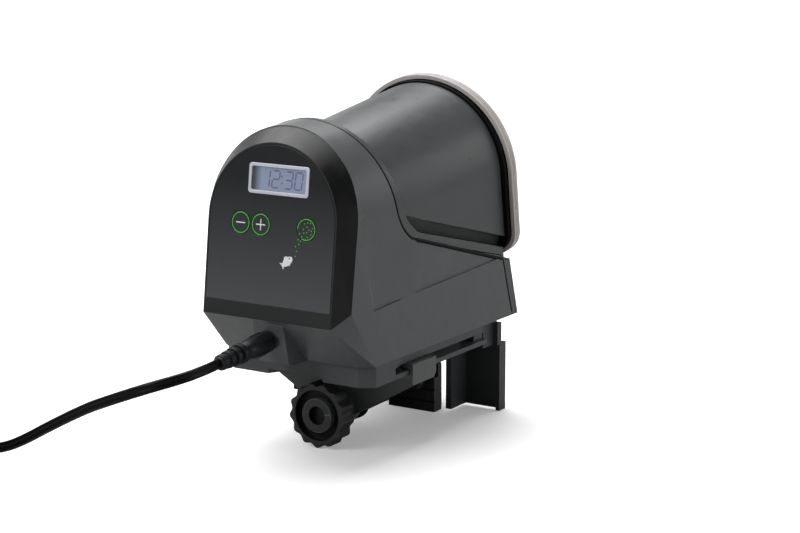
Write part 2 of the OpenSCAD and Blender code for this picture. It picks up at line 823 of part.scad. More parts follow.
module rear_jaw() {
    floor_z = -stand_h;
    web_z = plate_bottom - floor_z - 1.5;
    color("dimgray") placed() difference() {
        union() {
            for (s = [-1, 1]) {
                // channel wall and wing on each side
                translate([0, 0, floor_z + 1.5]) linear_extrude(web_z) scale([s, 1])
                    polygon([[jaw_half - 3, jaw_y], [jaw_half, jaw_y], [jaw_half, jaw_wing_y],
                             [39.8, jaw_wing_y],
                             [39.8, jaw_wing_y + jaw_t], [jaw_half - jaw_t, jaw_wing_y + jaw_t],
                             [jaw_half - jaw_t, jaw_y + jaw_t], [jaw_half - 3, jaw_y + jaw_t]]);
                // end rib that the feeder stands on
                translate([s * 39 - 1, jaw_wing_y, floor_z]) cube([2, 6.2, plate_bottom - floor_z - 3]);
                // hook and post at the top of the wing
                translate([s * 39 - 1.4, jaw_wing_y - 2.9, -40]) cube([2.8, 3.9, 11]);
                translate([s * 33.8 - 3.9, 126, -40]) cube([7.8, jaw_wing_y - 125, 12.4]);
            }
            // middle wall between the channels
            translate([-14, jaw_y, floor_z + 1.5]) cube([28, jaw_t, web_z]);
            // flange under the base plate
            translate([-30, 117.2, plate_bottom - jaw_t]) cube([60, jaw_y + jaw_t - 117.2, jaw_t]);
        }
        for (p = jaw_screw_at) translate([p[0], p[1], plate_bottom - 5]) cylinder(h = 9, r = 1.5);
    }
}

module jaw_screws() {
    color("silver") placed() for (p = jaw_screw_at) translate([p[0], p[1], plate_bottom - jaw_t]) {
        translate([0, 0, -1.4]) cylinder(h = 1.4, r = 2.8);
        cylinder(h = 4.6, r = 1.45);
    }
}

// Outline of a web that narrows down to the spindle
module web_outline(top, half, low) {
    polygon([[-half, top], [half, top], [half, low], [7, spindle_z - 3.6], [-7, spindle_z - 3.6],
             [-half, low]]);
    translate([0, spindle_z]) circle(8.4);
}

module clamp_carriage() {
    carriage_len = carriage_y[1] - carriage_y[0];
    cheek_low = -41.6;
    color("dimgray") placed() difference() {
        union() {
            translate([-42.6, carriage_y[0], carriage_top - 2.2]) cube([85.2, carriage_len, 2.2]);
            for (s = [-1, 1]) {
                translate([s * 41.75, 0, 0]) along_x(1.7)
                    polygon([[carriage_y[0], -31.9], [carriage_y[1], -31.9], [carriage_y[1], -39.4],
                             [carriage_y[1] - 2, cheek_low], [carriage_y[0], cheek_low]]);
                translate([s * 39.7 - 2.9, carriage_y[0], plate_top + gap]) cube([5.8, carriage_len, 2.2]);
            }
            along_y(web_y[0], web_y[1]) web_outline(carriage_top - 1, 42.6, cheek_low);
            rod_y([0, spindle_z], 55.6, 62.6, 8.4);
        }
        rod_y([0, spindle_z], 50, 70, spindle_r + 0.35);
        // pocket for the nut
        along_y(59, 64) translate([0, spindle_z]) circle(5.9, $fn = 6);
    }
}

module spindle_nut() {
    color("goldenrod") placed() difference() {
        along_y(59.1, 62.4) translate([0, spindle_z]) circle(5.8, $fn = 6);
        rod_y([0, spindle_z], 55, 70, spindle_r + 0.05);
    }
}

module pressure_bar() {
    color("darkslategray") placed() difference() {
        union() {
            along_y(bar_y[0], bar_y[1]) web_outline(-40.6, 38, -45);
            rod_y([0, spindle_z], bar_y[0], 73, 6.5);
            for (s = [-1, 1]) {
                x0 = s > 0 ? pad_inner : -pad_outer;
                translate([s * 30 - 5, bar_y[1] - eps, -48]) cube([10, pad_y[0] - bar_y[1] + 2 * eps, 6]);
                translate([x0, pad_y[1] - 3.2, pad_z[1] - 1]) cube([pad_w, 3.2, pad_top - pad_z[1] + 1]);
                difference() {
                    translate([x0, pad_y[0], pad_z[0]])
                        cube([pad_w, pad_y[1] - pad_y[0], pad_z[1] - pad_z[0]]);
                    // grooves between the ribs
                    for (z = pad_grooves) translate([x0 - 1, pad_y[0] - 1, z]) cube([pad_w + 2, 1.6, 1]);
                }
            }
        }
        rod_y([0, spindle_z], 60, 78, spindle_r + 0.05);
    }
}

module clamp_pads() {
    color("slategray") placed() for (s = [-1, 1])
        translate([s > 0 ? pad_inner + 0.6 : -pad_outer + 0.6, pad_y[1], pad_z[0] + 0.8])
            cube([pad_w - 1.2, pad_y[2] - pad_y[1], pad_top - pad_z[0] - 1.6]);
}

module clamp_spindle() {
    color("silver") placed() difference() {
        rod_y([0, spindle_z], 41.5, 76, spindle_r);
        // groove for the clip
        difference() {
            rod_y([0, spindle_z], 73.2, 74.1, 5);
            rod_y([0, spindle_z], 73, 74.3, 2.3);
        }
    }
}

module spindle_clip() {
    color("silver") placed() difference() {
        rod_y([0, spindle_z], 73.3, 74, 5);
        rod_y([0, spindle_z], 73, 74.4, 2.32);
        translate([-1.6, 73, spindle_z]) cube([3.2, 1.6, 8]);
    }
}

function knob_edge(n) = [for (i = [0:8 * n - 1]) let (a = 360 * i / (8 * n) - 90)
    (knob_r - 0.75 + 0.75 * cos(a * n + 90 * n)) * [cos(a), sin(a)]];

module clamp_knob() {
    color("dimgray") placed() difference() {
        union() {
            along_y(knob_y[0], knob_y[1]) translate([0, spindle_z]) polygon(knob_edge(knob_lobes));
            rod_y([0, spindle_z], knob_y[1] - eps, knob_y[1] + 0.7, 7);
        }
        // dished face round a raised hub
        difference() {
            rod_y([0, spindle_z], knob_y[0] - 1, knob_y[0] + 4, 12);
            rod_y([0, spindle_z], knob_y[0] - 2, knob_y[0] + 5, 8, 8.4);
        }
        rod_y([0, spindle_z], knob_y[0] - 1, 41.5, 4.3);
        rod_y([0, spindle_z], 41, 50, spindle_r);
    }
}

// ---------- plug, lead and adapter ----------

module dc_plug() {
    color("dimgray") plug_axis() {
        difference() {
            translate([0, 0, relief_len]) {
                cylinder(h = 6, r1 = 4, r2 = 4.9);
                translate([0, 0, 6]) cylinder(h = plug_len - 6, r = 4.9);
            }
            translate([0, 0, relief_len + plug_len - 3]) cylinder(h = 4, r = 2.2);
        }
        translate([0, 0, relief_len + plug_len - 3]) difference() {
            cylinder(h = 12.5, r = 2.7);
            translate([0, 0, 3.2]) cylinder(h = 12, r = 1.25);
        }
    }
}

module plug_relief() {
    color("dimgray") plug_axis() {
        cylinder(h = relief_len, r1 = 2.7, r2 = 3.3);
        for (i = [0:3]) translate([0, 0, 1.2 + 4.3 * i]) cylinder(h = 2.2, r = 3.3 + 0.28 * i);
    }
}

// Smooth points through a route, two to each stretch
function spline(p0, p1, p2, p3, t) = 0.5 * ((2 * p1) + (p2 - p0) * t + (2 * p0 - 5 * p1 + 4 * p2 - p3) * t * t
    + (3 * p1 - p0 - 3 * p2 + p3) * t * t * t);
function smooth(route) = let (n = len(route)) concat(
    [for (i = [0:n - 2], t = [0, 0.5])
        spline(route[max(i - 1, 0)], route[i], route[i + 1], route[min(i + 2, n - 1)], t)],
    [route[n - 1]]);

// The flat lead swept along a route, its wide way upright
module flat_tube(route) {
    points = smooth(route);
    n = len(points);
    sides = 8;
    corner = 1 / cos(180 / sides);
    rings = [for (i = [0:n - 1])
        let (t = unit(points[min(i + 1, n - 1)] - points[max(i - 1, 0)]),
             side = unit(cross(t, [0, 0, 1])), up = cross(side, t))
        for (k = [0:sides - 1]) let (a = 360 * (k + 0.5) / sides)
            points[i] + corner / 2 * (side * cord_t * cos(a) + up * cord_w * sin(a))];
    walls = [for (i = [0:n - 2], k = [0:sides - 1]) let (a = i * sides + k, b = i * sides + (k + 1) % sides)
        [a, b, b + sides, a + sides]];
    first_cap = [for (k = [sides - 1:-1:0]) k];
    last_cap = [for (k = [0:sides - 1]) (n - 1) * sides + k];
    polyhedron(rings, concat(walls, [first_cap, last_cap]), convexity = 8);
}

module lead() {
    color("black") flat_tube(lead_route);
}

module lead_coil() {
    color("black") translate(coil_at) rotate_extrude()
        translate([coil_r - coil_w / 2, 0]) square([coil_w, coil_h]);
}

module lead_tail() {
    color("black") flat_tube(tail_route);
}

module wall_adapter() {
    size = adapter_size;
    color("black") translate(adapter_at) {
        translate([-size[0] / 2, -size[1] / 2, 0]) difference() {
            cube(size);
            for (x = [-1, size[0] + 1], y = [-1, size[1] + 1])
                translate([x, y, -1]) rotate([0, 0, 45]) cube([5, 5, 80], center = true);
            // seat of the lead
            translate([size[0] / 2, size[1] - 3, 5]) rotate([-90, 0, 0]) cylinder(h = 4, r = 2.9);
        }
        // round plug base
        translate([0, -8, size[2] - eps]) cylinder(h = 5, r = 16);
    }
}

module adapter_pins() {
    color("silver") translate(adapter_at) for (s = [-1, 1])
        translate([s * 9.5, -8, adapter_size[2] + 5]) cylinder(h = 19, r = 2);
}

front_housing();
panel_overlay();
display_frame();
display_window();
display_module();
circuit_board();
tact_switches();
button_minus();
button_plus();
button_feed();
board_screws();
dc_socket();
motor_plate();
motor();
motor_pinion();
compound_gear();
compound_shaft();
output_gear();
gear_cover();
cover_screws();
hopper();
hopper_bush();
feed_screw();
drop_chute();
lid();
lid_gasket();
base_plate();
base_screws();
rear_jaw();
jaw_screws();
clamp_carriage();
spindle_nut();
pressure_bar();
clamp_pads();
clamp_spindle();
spindle_clip();
clamp_knob();
dc_plug();
plug_relief();
lead();
lead_coil();
lead_tail();
wall_adapter();
adapter_pins();
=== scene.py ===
import bpy, bmesh, json, math
from mathutils import Vector, Matrix


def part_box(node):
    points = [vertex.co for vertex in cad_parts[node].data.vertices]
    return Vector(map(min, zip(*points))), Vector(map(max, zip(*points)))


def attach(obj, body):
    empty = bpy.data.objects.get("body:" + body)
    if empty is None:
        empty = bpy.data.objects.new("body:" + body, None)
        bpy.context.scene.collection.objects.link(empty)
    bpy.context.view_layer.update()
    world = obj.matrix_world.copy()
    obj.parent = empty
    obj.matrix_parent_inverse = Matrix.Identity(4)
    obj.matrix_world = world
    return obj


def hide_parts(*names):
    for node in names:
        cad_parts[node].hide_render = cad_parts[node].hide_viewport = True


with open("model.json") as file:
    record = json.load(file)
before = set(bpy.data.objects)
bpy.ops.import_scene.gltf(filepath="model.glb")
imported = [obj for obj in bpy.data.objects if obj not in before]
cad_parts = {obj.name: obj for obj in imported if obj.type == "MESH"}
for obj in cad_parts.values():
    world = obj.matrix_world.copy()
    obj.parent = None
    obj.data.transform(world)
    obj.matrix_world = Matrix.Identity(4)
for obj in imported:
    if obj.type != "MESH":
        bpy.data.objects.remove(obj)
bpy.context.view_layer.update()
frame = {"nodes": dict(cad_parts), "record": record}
record = frame["record"]
BODY_OF = {n: b for b, ns in record["behaviour"]["bodies"].items() for n in ns}

# ---------- shared values, millimetres from the bottom edge of the panel ----------
MID_Y, STAND_H = 76.74, 74.0
TILT = math.radians(6.9)
MOUTH_Y, MOUTH_TILT = 141.5, math.radians(8)


def from_panel(x, y, z):
    """Panel millimetres to the row frame in metres."""
    return Vector((x, y - MID_Y, z + STAND_H)) / 1000


def on_panel(x, s, d=0.0):
    """A point on the panel: across, up along it, and d behind its face."""
    return from_panel(x, d * math.cos(TILT) + s * math.sin(TILT), s * math.cos(TILT) - d * math.sin(TILT))


def on_mouth(x, s, n=0.0):
    """A point on the hopper's mouth plane: across, up along it, and n behind it."""
    c, t = math.cos(MOUTH_TILT), math.sin(MOUTH_TILT)
    return from_panel(x, MOUTH_Y + n * c - s * t, n * t + s * c)


def row(x, y, z):
    """Row millimetres to metres."""
    return Vector((x, y, z)) / 1000


# ---------- camera ----------
scene = bpy.context.scene
cam_data = bpy.data.cameras.new("camera")
cam = bpy.data.objects.new("camera", cam_data)
scene.collection.objects.link(cam)
scene.camera = cam
cam_data.lens = 90
cam_data.sensor_width = 36
cam_data.clip_end = 20
azimuth, elevation = math.radians(32.17), math.radians(11.48)
back = Vector((math.sin(azimuth) * math.cos(elevation), -math.cos(azimuth) * math.cos(elevation),
               math.sin(elevation)))
cam.location = from_panel(506.4, -694.8, 192.5)
cam.rotation_mode = 'QUATERNION'
cam.rotation_quaternion = (-back).to_track_quat('-Z', 'Y')
scene.view_settings.view_transform = 'Standard'


# ---------- mesh helpers ----------
SHARP, BEVEL_FROM = 32, 28  # degrees between faces: shaded sharp, and rounded


def shade(me, sharp):
    """Smooth shading, except where faces meet at more than sharp degrees."""
    for p in me.polygons:
        p.use_smooth = True
    me.set_sharp_from_angle(angle=math.radians(sharp))


def new_object(name, verts, faces, sharp=SHARP):
    """A mesh piece from points and faces."""
    me = bpy.data.meshes.new(name)
    me.from_pydata([tuple(v) for v in verts], [], faces)
    bm = bmesh.new()
    bm.from_mesh(me)
    bmesh.ops.recalc_face_normals(bm, faces=bm.faces)
    bm.to_mesh(me)
    bm.free()
    shade(me, sharp)
    o = bpy.data.objects.new(name, me)
    scene.collection.objects.link(o)
    return o


def put(o, body, slot, material, *nodes):
    """Paints a piece and lets it ride on its body; slot is not used."""
    o.data.materials.clear()
    o.data.materials.append(material)
    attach(o, body)
    if nodes:
        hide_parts(*nodes)
    return o


def baked(o):
    """Applies the modifiers of o to its mesh."""
    dg = bpy.context.evaluated_depsgraph_get()
    me = bpy.data.meshes.new_from_object(o.evaluated_get(dg))
    o.modifiers.clear()
    o.data = me
    return o


def smoothed(o):
    """Smooth shading where faces meet gently, led by the larger faces."""
    shade(o.data, SHARP)
    mod = o.modifiers.new("normals", 'WEIGHTED_NORMAL')
    mod.keep_sharp = True
    mod.weight = 90
    return baked(o)


def softened(node, width, segments=2):
    """A copy of a CAD node with its edges rounded by width millimetres."""
    me = frame["nodes"][node].data.copy()
    o = bpy.data.objects.new(node + "_body", me)
    scene.collection.objects.link(o)
    bm = bmesh.new()
    bm.from_mesh(me)
    bmesh.ops.remove_doubles(bm, verts=bm.verts, dist=1e-6)
    bmesh.ops.dissolve_limit(bm, angle_limit=math.radians(0.5), verts=bm.verts, edges=bm.edges,
                             delimit=set())
    bm.to_mesh(me)
    bm.free()
    mod = o.modifiers.new("bevel", 'BEVEL')
    mod.width = width / 1000
    mod.segments = segments
    mod.limit_method = 'ANGLE'
    mod.angle_limit = math.radians(BEVEL_FROM)
    mod.use_clamp_overlap = True
    mod.miter_outer = 'MITER_ARC'
    baked(o)
    return smoothed(o)


def plate(name, outline, at, d0, d1, holes=()):
    """A thin shape between depths d0 and d1: an outline of 2-D points placed by at(x, s, d)."""
    bm = bmesh.new()
    rings = [outline, *holes]
    edges = []
    for ring in rings:
        vs = [bm.verts.new(at(x, s, d0)) for x, s in ring]
        edges += [bm.edges.new((a, b)) for a, b in zip(vs, vs[1:] + vs[:1])]
    bmesh.ops.triangle_fill(bm, use_beauty=True, use_dissolve=True, edges=edges)
    front = list(bm.faces)
    step = at(0, 0, d1) - at(0, 0, d0)
    made = bmesh.ops.extrude_face_region(bm, geom=front, use_keep_orig=True)
    bmesh.ops.translate(bm, vec=step, verts=[v for v in made["geom"] if isinstance(v, bmesh.types.BMVert)])
    bmesh.ops.recalc_face_normals(bm, faces=bm.faces)
    me = bpy.data.meshes.new(name)
    bm.to_mesh(me)
    bm.free()
    shade(me, 30)
    o = bpy.data.objects.new(name, me)
    scene.collection.objects.link(o)
    return o


def circle(cx, cy, r, n=40, a0=0.0, a1=360.0):
    """Points on a circle, or on an arc of it."""
    closed = abs(a1 - a0) >= 360
    count = n if closed else n + 1
    return [(cx + r * math.cos(math.radians(a0 + (a1 - a0) * i / n)),
             cy + r * math.sin(math.radians(a0 + (a1 - a0) * i / n))) for i in range(count)]


def ring_part(cx, cy, r0, r1, a0, a1, n=40):
    """Outline of a part of a ring."""
    return circle(cx, cy, r1, n, a0, a1) + circle(cx, cy, r0, n, a0, a1)[::-1]


def joined(objects, name):
    """Several pieces as one."""
    bpy.ops.object.select_all(action='DESELECT')
    for o in objects:
        o.select_set(True)
    bpy.context.view_layer.objects.active = objects[0]
    bpy.ops.object.join()
    objects[0].name = name
    objects[0].data.name = name
    return objects[0]


LATHE_SIDES = 64


def lathe(name, profile, centre, axis, up):
    """Revolves (distance along axis, radius) points round an axis through centre."""
    axis, up = axis.normalized(), up.normalized()
    side = axis.cross(up)
    n = LATHE_SIDES
    verts, faces = [], []
    for a, r in profile:
        for k in range(n):
            t = 2 * math.pi * k / n
            verts.append(centre + axis * (a / 1000) + (up * math.cos(t) + side * math.sin(t)) * (r / 1000))
    for i in range(len(profile) - 1):
        for k in range(n):
            b = (k + 1) % n
            faces.append((i * n + k, i * n + b, (i + 1) * n + b, (i + 1) * n + k))
    return new_object(name, verts, faces)


# ---------- materials ----------
WORN_EDGE = 0.35  # width of the lighter edges, millimetres


def linear(c):
    """An sRGB colour given as 0 to 255, as linear values."""
    out = []
    for v in c:
        v /= 255
        out.append(v / 12.92 if v <= 0.04045 else ((v + 0.055) / 1.055) ** 2.4)
    return (*out, 1.0)


def finish_of(name, colour, rough=0.4, specular=0.5, metallic=0.0, var=0.12, var_scale=30,
              grain=1500, bump=0.15, rough_var=0.08, wear=None, wear_amount=0.35, painted_light_ramp=None):
    """A surface with colour variation, fine relief, uneven roughness and lighter edges, and optionally a
    painted ramp of light and shade along one direction.
    """
    m = bpy.data.materials.new(name)
    m.use_nodes = True
    nt = m.node_tree
    node, link = nt.nodes.new, nt.links.new
    bsdf = nt.nodes["Principled BSDF"]
    bsdf.inputs["Metallic"].default_value = metallic
    bsdf.inputs["Specular IOR Level"].default_value = specular
    coord = node("ShaderNodeTexCoord")

    def noise(scale, detail=3.0, rough_value=0.5):
        n = node("ShaderNodeTexNoise")
        n.inputs["Scale"].default_value = scale
        n.inputs["Detail"].default_value = detail
        n.inputs["Roughness"].default_value = rough_value
        link(coord.outputs["Object"], n.inputs["Vector"])
        return n.outputs["Fac"]

    def ranged(value, a, b, c, d):
        r = node("ShaderNodeMapRange")
        link(value, r.inputs["Value"])
        for key, v in zip(("From Min", "From Max", "To Min", "To Max"), (a, b, c, d)):
            r.inputs[key].default_value = v
        return r.outputs["Result"]

    def mixed(fac, a, b):
        x = node("ShaderNodeMix")
        x.data_type = 'RGBA'
        link(fac, x.inputs["Factor"])
        for sock, v in ((x.inputs[6], a), (x.inputs[7], b)):
            if isinstance(v, tuple):
                sock.default_value = v
            else:
                link(v, sock)
        return x.outputs[2]

    base = linear(colour)
    low = tuple(v * (1 - var) for v in base[:3]) + (1.0,)
    high = tuple(min(1.0, v * (1 + var)) for v in base[:3]) + (1.0,)
    colour_out = mixed(ranged(noise(var_scale, 4.0, 0.6), 0.3, 0.7, 0.0, 1.0), low, high)
    # painted light and shade: the colour ramps to a second colour along one direction
    if painted_light_ramp:
        direction, start, end, second = painted_light_ramp
        along = node("ShaderNodeVectorMath")
        along.operation = 'DOT_PRODUCT'
        link(coord.outputs["Object"], along.inputs[0])
        along.inputs[1].default_value = direction
        colour_out = mixed(ranged(along.outputs["Value"], start, end, 0.0, 1.0), colour_out, linear(second))
    bevel = node("ShaderNodeBevel")
    bevel.samples = 4
    bevel.inputs["Radius"].default_value = WORN_EDGE / 1000
    geometry = node("ShaderNodeNewGeometry")
    dot = node("ShaderNodeVectorMath")
    dot.operation = 'DOT_PRODUCT'
    link(bevel.outputs[0], dot.inputs[0])
    link(geometry.outputs["True Normal"], dot.inputs[1])
    worn = ranged(dot.outputs["Value"], 0.995, 0.9, 0.0, wear_amount)
    patch = node("ShaderNodeMath")
    patch.operation = 'MULTIPLY'
    link(worn, patch.inputs[0])
    link(ranged(noise(220, 3.0), 0.4, 0.6, 0.2, 1.0), patch.inputs[1])
    bright = linear(wear) if wear else tuple(min(1.0, v * 1.7 + 0.012) for v in base[:3]) + (1.0,)
    link(mixed(patch.outputs[0], colour_out, bright), bsdf.inputs["Base Color"])
    link(ranged(noise(170, 4.0, 0.65), 0.25, 0.75, max(0.03, rough - rough_var), rough + rough_var),
         bsdf.inputs["Roughness"])
    bumped = node("ShaderNodeBump")
    bumped.inputs["Strength"].default_value = bump
    bumped.inputs["Distance"].default_value = 0.00005
    link(noise(grain, 2.0), bumped.inputs["Height"])
    link(bevel.outputs[0], bumped.inputs["Normal"])
    link(bumped.outputs["Normal"], bsdf.inputs["Normal"])
    return m


body_grey = finish_of("body_grey", (84, 86, 87), rough=0.36, bump=0.12, var=0.05)
hopper_grey = finish_of("hopper_grey", (74, 76, 77), rough=0.34, bump=0.12, var=0.05)
# painted shade: a darker grey for the undercut below the hopper's ledge and the strip under the panel
painted_shade_grey = finish_of("painted_shade_grey", (40, 42, 42), rough=0.55, specular=0.25, bump=0.2, var=0.08)
rim_black = finish_of("rim_black", (9, 10, 11), rough=0.38, specular=0.35, bump=0.04, var=0.06,
                      wear_amount=0.15)
# painted reflection: the panel turns lighter towards the bottom
panel_black = finish_of("panel_black", (30, 33, 34), rough=0.3, specular=0.4, bump=0.02, var=0.04,
                        wear_amount=0.0, rough_var=0.015, painted_light_ramp=((0, 0, 1), 0.13, 0.074, (80, 81, 84)))
frame_silver = finish_of("frame_silver", (212, 214, 226), rough=0.3, metallic=0.1, bump=0.05, var=0.05)
# painted shade: the screen darkens towards its left edge
lcd = finish_of("lcd", (152, 165, 190), rough=0.16, bump=0.01, var=0.04, wear_amount=0.0,
                painted_light_ramp=((1, 0, 0), -0.0068, -0.0105, (84, 87, 96)))
digit_ink = finish_of("digit_ink", (112, 110, 150), rough=0.4, bump=0.02, var=0.06, wear_amount=0.0)
print_green = finish_of("print_green", (74, 196, 52), rough=0.4, bump=0.05, var=0.06, wear_amount=0.1)
print_white = finish_of("print_white", (238, 240, 240), rough=0.4, bump=0.05, var=0.03, wear_amount=0.05)
lid_grey = finish_of("lid_grey", (196, 190, 185), rough=0.3, bump=0.06, var=0.04, wear=(215, 213, 210),
                     wear_amount=0.25)
# also painted shade in the seam between housing and hopper
seal_and_gap_shade_black = finish_of("seal_and_gap_shade_black", (5, 5, 6), rough=0.62, specular=0.15, bump=0.3, var=0.15,
                       wear_amount=0.1)
clamp_dark = finish_of("clamp_dark", (60, 62, 64), rough=0.42, specular=0.4, bump=0.14, var=0.06)
plate_grey = finish_of("plate_grey", (74, 76, 78), rough=0.4, specular=0.4, bump=0.14, var=0.06)
carriage_grey = finish_of("carriage_grey", (92, 94, 94), rough=0.4, specular=0.4, bump=0.14, var=0.06)
# also painted shade in the dish and bore of the knob
pad_and_knob_shade_dark = finish_of("pad_and_knob_shade_dark", (16, 18, 20), rough=0.5, specular=0.3, bump=0.25, var=0.12,
                     wear_amount=0.15)
knob_dark = finish_of("knob_dark", (44, 45, 47), rough=0.4, bump=0.2, var=0.07)
cord_black = finish_of("cord_black", (6, 6, 7), rough=0.35, specular=0.15, bump=0.1, var=0.15,
                       wear_amount=0.1)
plug_black = finish_of("plug_black", (14, 16, 20), rough=0.46, specular=0.35, bump=0.25, var=0.1)
adapter_black = finish_of("adapter_black", (30, 31, 33), rough=0.45, bump=0.35, var=0.08, grain=2200)
inner_grey = finish_of("inner_grey", (60, 62, 64), rough=0.5, bump=0.15, var=0.08)
board_green = finish_of("board_green", (22, 84, 44), rough=0.42, bump=0.25, var=0.14, var_scale=120)
gear_white = finish_of("gear_white", (206, 204, 196), rough=0.42, bump=0.08, var=0.04, wear_amount=0.1)
steel = finish_of("steel", (176, 176, 178), rough=0.3, metallic=1.0, bump=0.08, var=0.08)
motor_steel = finish_of("motor_steel", (150, 151, 154), rough=0.36, metallic=1.0, bump=0.12, var=0.08)
black_steel = finish_of("black_steel", (20, 21, 22), rough=0.4, metallic=0.4, bump=0.08, var=0.1)
brass = finish_of("brass", (196, 160, 84), rough=0.3, metallic=1.0, bump=0.06, var=0.1)

SLOT_OF = {s["node"]: s["material_slot"] for s in record["subparts"]}
BY_SLOT = {"housing_plastic": body_grey, "hopper_plastic": hopper_grey, "panel_gloss": panel_black,
           "display_frame": frame_silver, "lcd_glass": lcd, "inner_plastic": inner_grey, "board": board_green,
           "steel": steel, "motor_steel": motor_steel, "gear_plastic": gear_white, "lid_plastic": lid_grey,
           "seal_rubber": seal_and_gap_shade_black, "clamp_plastic": clamp_dark, "pad_plastic": pad_and_knob_shade_dark,
           "knob_plastic": knob_dark, "brass": brass, "cord_rubber": cord_black,
           "adapter_plastic": adapter_black, "pins_metal": steel}


# ---------- the lead, its coil and its tail ----------
LEAD_ROUTE = [
    (0, -112, 56), (0, -118, 55.5), (-0.5, -124, 55), (-2, -130, 54.2), (-6, -137, 52.8),
    (-13, -142, 50.4), (-23, -144, 46.6), (-34, -143.5, 42.2), (-46, -141, 37.2),
    (-58, -138, 31.6), (-70, -135, 25.6), (-82, -132.6, 19.4), (-94, -130.6, 13),
    (-106, -129, 7.4), (-117, -128, 4), (-129, -127.4, 2.6), (-142, -127.2, 2.4)]
TAIL_ROUTE = [
    (-142, -127.2, 7.2), (-149, -127.2, 7), (-156, -127.2, 6), (-163, -127.3, 4.8),
    (-170, -127.5, 3.7), (-177, -128.1, 3), (-184, -129.6, 2.8), (-190.5, -132.4, 3),
    (-195.6, -136.8, 3.6), (-198.4, -142.4, 4.4), (-199, -148, 5)]
CORD_W, CORD_T = 4.8, 2.6
COIL_AT, COIL_TURNS, COIL_OUTER, TURN_POINTS = (-142, -159.6), 4, 32.4, 36


def spline(route, steps=4):
    """Smooth points through a route."""
    out = []
    for i in range(len(route) - 1):
        p = [Vector(route[min(max(j, 0), len(route) - 1)]) for j in (i - 1, i, i + 1, i + 2)]
        for k in range(steps):
            t = k / steps
            out.append(0.5 * (2 * p[1] + (p[2] - p[0]) * t + (2 * p[0] - 5 * p[1] + 4 * p[2] - p[3]) * t ** 2
                              + (3 * p[1] - p[0] - 3 * p[2] + p[3]) * t ** 3))
    return out + [Vector(route[-1])]


def coil_points():
    """Two layers of turns: inwards along the floor, then outwards on top."""
    radii = [COIL_OUTER - CORD_W * i for i in range(COIL_TURNS)]
    low, high = CORD_W / 2, CORD_W * 1.5
    radii = radii + radii[::-1]
    out = []
    for i, r in enumerate(radii):
        after = radii[i + 1] if i + 1 < len(radii) else r
        for k in range(TURN_POINTS):
            ease = max(0.0, (k / TURN_POINTS - 0.7) / 0.3)
            ease = ease * ease * (3 - 2 * ease)
            z = low if i < COIL_TURNS else high
            if i == COIL_TURNS - 1:
                z += (high - low) * ease
            a = math.pi / 2 + 2 * math.pi * (i + k / TURN_POINTS)
            rr = r + (after - r) * ease
            out.append(Vector((COIL_AT[0] + rr * math.cos(a), COIL_AT[1] + rr * math.sin(a), z)))
    return out


cord_path = spline(LEAD_ROUTE)[:-1] + coil_points() + spline(TAIL_ROUTE)


def twin_section():
    """Outline of the flat twin lead: two round wires side by side, joined."""
    r = CORD_T / 2
    off = CORD_W / 2 - r
    turns = [math.radians(-50 + 280 * k / 11) for k in range(12)]
    top = [(r * math.cos(a), off + r * math.sin(a)) for a in turns]
    return top + [(-x, -z) for x, z in top]


def twin_lead(name, path):
    """The flat lead along its route, its width upright."""
    section = twin_section()
    count = len(section)
    verts, faces = [], []
    for i, p in enumerate(path):
        t = (path[min(i + 1, len(path) - 1)] - path[max(i - 1, 0)]).normalized()
        side = t.cross(Vector((0, 0, 1))).normalized()
        up = side.cross(t)
        verts += [(p + side * x + up * z) / 1000 for x, z in section]
    for i in range(len(path) - 1):
        for k in range(count):
            a, b = i * count + k, i * count + (k + 1) % count
            faces.append((a, b, b + count, a + count))
    faces += [tuple(range(count))[::-1], tuple(range((len(path) - 1) * count, len(path) * count))]
    return new_object(name, verts, faces, 60)


lead = twin_lead("twin_lead", cord_path)
put(lead, BODY_OF["lead"], "cord_rubber", cord_black, "lead", "lead_coil", "lead_tail")

adapter = softened("wall_adapter", 0.9, segments=3)
put(adapter, BODY_OF["wall_adapter"], "adapter_plastic", adapter_black, "wall_adapter")
lo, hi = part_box("wall_adapter")
ax, ay = (lo.x + hi.x) * 500, (lo.y + hi.y) * 500
box_top = 24.0
# the box is a hair smaller than its seam line, so that the line shows
for v in adapter.data.vertices:
    v.co.x = ax / 1000 + (v.co.x - ax / 1000) * 0.998
    v.co.y = ay / 1000 + (v.co.y - ay / 1000) * 0.998


def rect(cx, cy, w, h, r, n=6):
    """Outline of a rectangle with round corners."""
    out = []
    for sx, sy, a in ((1, 1, 0), (-1, 1, 90), (-1, -1, 180), (1, -1, 270)):
        out += circle(cx + sx * (w / 2 - r), cy + sy * (h / 2 - r), r, n, a, a + 89.9)
    return out


def flat_on(z):
    """Places a plate flat at a height."""
    return lambda x, s, d: row(x, s, z - d)


label = plate("adapter_label", rect(ax, ay + 20, 24, 11, 1.5), flat_on(box_top + 0.25), 0, 0.4)
put(label, BODY_OF["wall_adapter"], "adapter_plastic", inner_grey)
seam = plate("adapter_seam", rect(ax, ay, 36, 60, 3.4), flat_on(12.2), 0, 0.4)
put(seam, BODY_OF["wall_adapter"], "adapter_plastic", seal_and_gap_shade_black)

# ---------- housing ----------
housing = softened("front_housing", 0.25)
put(housing, BODY_OF["front_housing"], "housing_plastic", body_grey, "front_housing")
housing.data.materials.append(rim_black)
housing.data.materials.append(painted_shade_grey)
RIM_Y, RIM_TILT, ARCH_Z, RIM_INNER = 7.3, math.radians(8.1), 38.0, 33.5
RIM_FOOT, SLACK = -0.6, 0.2
